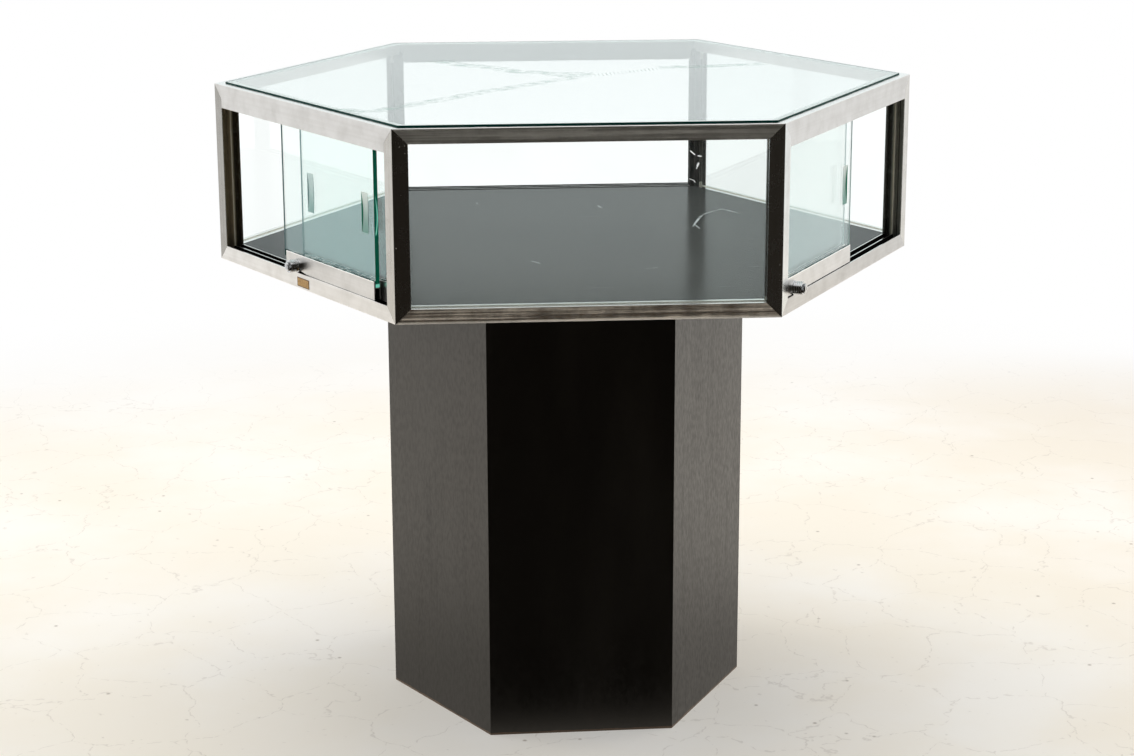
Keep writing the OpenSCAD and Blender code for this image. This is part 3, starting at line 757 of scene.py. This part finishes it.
def clear_glass(name, across, tint=glass_tint, mirrors=white, dust=0.02, settled=0.0, edge=glass_edge,
                edge_shine=0.5, inside=inner_edge, cut_below=0.5, edge_glow=None, ground=None,
                seam=None, marks=None, mark=mark_colour, thin=solid_marks):
    """Float glass whose faces look along across. Those that look along it by less than cut_below are
    cut edges.

    mirrors tints what it reflects, and settled is the dust low on a pane. edge and edge_shine are the
    look of a cut edge, and inside is its colour when it is seen through the sheet. marks, ground, seam
    and the edge glow each give a share of the surface at a point: that is marked in the colour of
    mark, where white chips also glow a little as painted light; satin-ground, and painted pale at the
    top of a pull and darker towards its foot, as painted light and shade; drawn black; or, on an edge,
    a painted glow. thin marks are fainter when they are looked at squarely."""
    made, tree = new_material(name)
    point = object_point(tree)
    facing = measured(tree, put(tree, "ShaderNodeTexCoord").outputs["Normal"], across)
    cut = maths(tree, "LESS_THAN", maths(tree, "ABSOLUTE", facing), cut_below)
    cloud = noise(tree, point, scale=7.0, detail=5.0, roughness=0.6)
    ripple = put(tree, "ShaderNodeBump", {"Height": noise(tree, point, scale=60.0), "Strength": 0.02,
                                          "Distance": 0.0002}).outputs[0]
    satin = 0.0
    if ground is not None:
        cut_back = ground(tree, point)
        satin = maths(tree, "MULTIPLY", cut_back, pull_rough)
    body = put(tree, "ShaderNodeBsdfPrincipled",
               {"Base Color": tint, "Roughness": satin, "IOR": glass_ior, "Transmission Weight": 1.0,
                "Specular Tint": mirrors, "Normal": ripple}).outputs[0]
    rays = put(tree, "ShaderNodeLightPath").outputs
    deep = tuple(0.6 * c for c in edge[:3]) + (1.0,)
    edge_face = put(tree, "ShaderNodeBsdfPrincipled",
                    {"Base Color": blended(tree, cloud, edge, deep), "Roughness": 0.15,
                     "IOR": glass_ior, "Specular IOR Level": edge_shine,
                     "Emission Color": edge_light,
                     "Emission Strength": 0.0 if edge_glow is None else edge_glow(tree, point),
                     }).outputs[0]
    edge_face = mixed(tree, rays["Is Transmission Ray"], edge_face, matt(tree, inside))
    height = parts_of(tree, point)[2]
    haze = maths(tree, "ADD", step(tree, cloud, 0.35, 0.8, dust * 0.4, dust),
                 step(tree, height, *settles_from, settled, 0.0))
    flat_face = mixed(tree, haze, body, matt(tree, dust_colour))
    # The ground floor of a pull is painted pale at its top and darker towards its foot, as painted
    # light and shade
    if ground is not None:
        shade = step(tree, height, pull_middle - pull_reach, pull_middle + pull_reach)
        flat_face = mixed(tree, maths(tree, "MULTIPLY", cut_back, 0.6), flat_face,
                          matt(tree, blended(tree, shade, ground_shaded, ground_lit)))
    if marks is not None:
        # White chips glow a little, as painted light
        film = put(tree, "ShaderNodeBsdfPrincipled",
                   {"Base Color": mark, "Roughness": 0.8, "Emission Color": mark,
                    "Emission Strength": chip_glow if mark == chip_white else 0.0}).outputs[0]
        grazing = put(tree, "ShaderNodeLayerWeight", {"Blend": 0.5}).outputs["Facing"]
        seen = maths(tree, "MULTIPLY", marks(tree, point), step(tree, grazing, *thin, 1.0))
        flat_face = mixed(tree, seen, flat_face, film)
    if seam is not None:
        flat_face = mixed(tree, seam(tree, point), flat_face, matt(tree, inner_edge))
    sheet = mixed(tree, cut, flat_face, edge_face)
    lets_light = put(tree, "ShaderNodeBsdfTransparent", {"Color": tint}).outputs[0]
    show(tree, mixed(tree, rays["Is Shadow Ray"], sheet, lets_light))
    return made


# Chips of white paint on the front pane, which glow a little as painted light: each is a width and a
# line through points across it and up it, in millimetres
pane_chips = (
    (1.3, (130.5, 875.6), (135.2, 871.6)),
    (0.9, (139.8, 869.5), (144.0, 869.1)),
    (1.5, (140.6, 859.9), (139.0, 856.5)),
    (0.5, (139.0, 856.5), (138.0, 853.0)),
    (0.3, (129.0, 840.0), (134.5, 838.0)),
    (0.8, (134.9, 837.6), (136.0, 835.8)),
)


def chipped(tree, point):
    """The white chips on the front pane."""
    place = parts_of(tree, point)
    return strokes(tree, (place[0], place[2]), pane_chips)


for side in ("back_right", "back_left"):
    dress("pane_" + side, clear_glass("glass_pane_" + side, outward(FACES[side])))
dress("pane_front", clear_glass("glass_pane_front", outward(FACES["front"]), dust=0.05, settled=0.05,
                                marks=chipped, mark=chip_white))

# ---------- Top glass ----------
# One hexagonal sheet of the same glass lies in the top rails' rebates and stands a little above
# them. Its edges are ground. Wiping has left long streaks and a row of ticks.

top_edge = (0.004, 0.065, 0.05, 1.0)
top_arris = 0.0004
top_mirrors = (0.87, 1.0, 1.0, 1.0)
top_smooth = radians(20)
# Streaks: each is a width and a line through points in plan, in millimetres
top_streaks = (
    (26, (-262, -288), (-120, -132), (14, 1)),
    (30, (-175, 182), (-92, 96), (-9, 24)),
    (24, (-20, 42), (18, 40)),
    (24, (-20, 22), (30, 28)),
    (24, (-335, -281), (-302, -284)),
    (20, (-290, -300), (-262, -288)),
    (28, (160, 92), (240, 100), (286, 112)),
)
streak_wander = 0.03
top_ticks = (22, (14, 1), (157, 84))
tick_every = 0.006


def wiped(tree, point):
    """Streaks and a row of short ticks that wiping has left, broken up along their length."""
    place = parts_of(tree, point)
    ragged = noise(tree, point, scale=60.0, detail=6.0, roughness=0.7)
    drift = noise(tree, point, scale=13.0)
    bend = maths(tree, "MULTIPLY", maths(tree, "SUBTRACT", drift, 0.5), streak_wander)
    bent = (maths(tree, "ADD", place[0], bend), maths(tree, "ADD", place[1], bend))
    lines = maths(tree, "MULTIPLY", strokes(tree, bent, top_streaks), 0.6)
    wave = maths(tree, "SINE", maths(tree, "MULTIPLY", place[0], tau / tick_every))
    ticks = maths(tree, "MULTIPLY", step(tree, wave, 0.2, 0.8, 0.0, 0.5),
                  strokes(tree, place, (top_ticks,)))
    return maths(tree, "MULTIPLY", maths(tree, "MAXIMUM", lines, ticks),
                 step(tree, ragged, 0.42, 0.64, 0.12, 1.0))


top_sheet = clear_glass("glass_top", (0.0, 0.0, 1.0), mirrors=top_mirrors, edge=top_edge,
                        edge_shine=0.04, cut_below=0.9, marks=wiped, thin=thin_marks)
solid, mesh = copy_of("top_glass", "top_glass_ground")
break_edges(solid, top_arris, segments=1)
top = finished(solid, mesh, top_sheet, smooth=top_smooth)
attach(top, "case")
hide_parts("top_glass")

# ---------- Sliding doors ----------
# Each door is a sheet of glass with ground edges and a ground finger pull, set in an aluminium
# shoe that runs in its track on two nylon rollers. The shoes are brushed along their length.

DOORS = ("left_outer", "left_inner", "right_outer", "right_inner")
door_tint = {"left": (0.925, 0.985, 0.968, 1.0), "right": (0.945, 0.99, 0.975, 1.0)}
door_dust = {"left": 0.015, "right": 0.035}
# The colour of a door's cut end seen through its sheet, dark on the left and pale on the right:
# painted shade and painted light.
door_inside = {"left": inner_edge, "right": (0.8, 0.95, 0.9, 1.0)}
door_mirrors = (0.1, 0.95, 1.0, 1.0)
door_smooth = radians(4)
# Depth inward of each door plane's glass, and the heights of its foot and of the shoes' tops
glass_depth = {"outer": 0.0039, "inner": 0.0161}
glass_foot = 0.6965
shoe_top = 0.704
# How far down the shoes' tops carry a painted highlight, and how high the dark line above them reaches
shoe_highlight = 0.0011
seam_h = 0.0006
# Depths into the glass between which it is a finger pull's ground floor
pull_depths = (0.00004, 0.003)
# Depth into the glass of the painted light curve that stands for a pull seen through the cut end: at
# its middle, and how much less at its ends
bow_depth = 0.0047
bow_rise = 0.0028


def pull_floor(face, plane):
    """Where a door's glass is ground away for its finger pull."""
    def share(tree, point):
        under = maths(tree, "SUBTRACT", depth_in(tree, point, face), glass_depth[plane])
        return within(tree, under, *pull_depths)
    return share


def shoe_seam(tree, point):
    """A dark line drawn along where the glass goes into its shoe."""
    ragged = noise(tree, point, scale=90.0, detail=4.0)
    height = maths(tree, "ADD", parts_of(tree, point)[2], step(tree, ragged, 0.45, 0.6, 0.0, seam_h))
    return step(tree, height, shoe_top + seam_h * 0.7, shoe_top + seam_h * 1.3, 1.0, 0.0)


def pull_in_edge(face):
    """A painted glow on a door's cut end: a light curve that stands for the finger pull seen through
    it, and a light foot.
    """
    def share(tree, point):
        height = parts_of(tree, point)[2]
        under = maths(tree, "SUBTRACT", depth_in(tree, point, face), glass_depth["outer"])
        t = maths(tree, "DIVIDE", maths(tree, "SUBTRACT", height, pull_middle), pull_reach)
        bow = maths(tree, "SUBTRACT", bow_depth,
                    maths(tree, "MULTIPLY", maths(tree, "POWER", t, 2.0), bow_rise))
        off = maths(tree, "ABSOLUTE", maths(tree, "SUBTRACT", under, bow))
        curve = step(tree, off, 0.0004, 0.0009, 1.0, 0.0)
        curve = maths(tree, "MULTIPLY", curve, within(tree, t, -1.0, 1.0, 0.1))
        curve = maths(tree, "MULTIPLY", curve, step(tree, t, 0.2, 1.0, 1.0, 0.25))
        foot = step(tree, height, glass_foot + 0.003, glass_foot + 0.005, 0.8, 0.0)
        return maths(tree, "MAXIMUM", curve, foot)
    return share


for door in DOORS:
    side, plane = door.split("_")
    face = FACES[side]
    glass = clear_glass("glass_door_" + door, outward(face), tint=door_tint[side],
                        mirrors=door_mirrors, dust=door_dust[side], inside=door_inside[side],
                        edge_glow=pull_in_edge(face), ground=pull_floor(face, plane),
                        seam=shoe_seam)
    node = "door_glass_" + door
    solid, mesh = copy_of(node, node + "_ground")
    sheet = finished(solid, mesh, glass, smooth=door_smooth)
    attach(sheet, "door_" + door)
    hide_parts(node)

# The left shoes carry a painted shadow of the lock at their left end
shoe_metal = {"left": brushed("aluminium_shoe_left", 120, shade_face=FACES["left"], rise=-0.0001,
                              lock_shadow=0.0026, highlight_from=shoe_top - shoe_highlight),
              "right": brushed("aluminium_shoe_right", 60, shade_face=FACES["right"], rise=0.0005,
                               highlight_from=shoe_top - shoe_highlight)}
for door in DOORS:
    dress("door_shoe_" + door, shoe_metal[door.split("_")[0]])

nylon, tree = new_material("nylon_grey_white")
soil = noise(tree, object_point(tree), scale=200.0, detail=4.0)
show(tree, put(tree, "ShaderNodeBsdfPrincipled",
               {"Base Color": blended(tree, step(tree, soil, 0.4, 0.8), (0.72, 0.71, 0.66, 1.0),
                                      (0.35, 0.33, 0.3, 1.0)),
                "Roughness": 0.42}).outputs[0])
for door in DOORS:
    for end in "ab":
        dress("roller_%s_%s" % (door, end), nylon)

# ---------- Locks ----------
# A push lock stands on the shoe of each outer door: a chromed sleeve with ribs and a flange, a
# plunger with a knurled nose, and a key plug with a slot in its end.

chrome, tree = new_material("bright_chrome")
wear = noise(tree, object_point(tree), scale=260.0, detail=5.0)
show(tree, put(tree, "ShaderNodeBsdfPrincipled",
               {"Base Color": blended(tree, step(tree, wear, 0.5, 0.8), (0.68, 0.69, 0.7, 1.0),
                                      (0.5, 0.49, 0.47, 1.0)),
                "Metallic": 1.0,
                "Roughness": step(tree, wear, 0.3, 0.9, 0.05, 0.22)}).outputs[0])
for side in ("left", "right"):
    for part in ("lock_sleeve_", "lock_plunger_", "lock_plug_"):
        dress(part + side, chrome)

# ---------- Label plate ----------
# A small plate of aged brass, bare inside a dark border. It is stuck on the outer face of the left
# track rail, in the middle of its length.

brass = (0.62, 0.4, 0.17, 1.0)
brass_dull = (0.45, 0.27, 0.1, 1.0)
brass_border = (0.14, 0.07, 0.03, 1.0)
# Where the bare middle lies inside the border, across the left face and in height
plate_across = (-0.0149, 0.0169)
plate_height = (0.6614, 0.6727)
border_soft = 0.0008

aged_brass, tree = new_material("aged_brass")
point = object_point(tree)
patina = noise(tree, point, scale=320.0, detail=5.0, roughness=0.7)
colour = blended(tree, step(tree, patina, 0.35, 0.65), brass, brass_dull)
across = measured(tree, point, rightward(FACES["left"]))
bare = maths(tree, "MULTIPLY", within(tree, across, *plate_across, border_soft),
             within(tree, parts_of(tree, point)[2], *plate_height, border_soft))
colour = blended(tree, bare, brass_border, colour)
show(tree, put(tree, "ShaderNodeBsdfPrincipled",
               {"Base Color": colour, "Metallic": 0.6,
                "Roughness": maths(tree, "ADD", 0.35, maths(tree, "MULTIPLY", patina, 0.3)),
                }).outputs[0])
dress("label_plate", aged_brass)
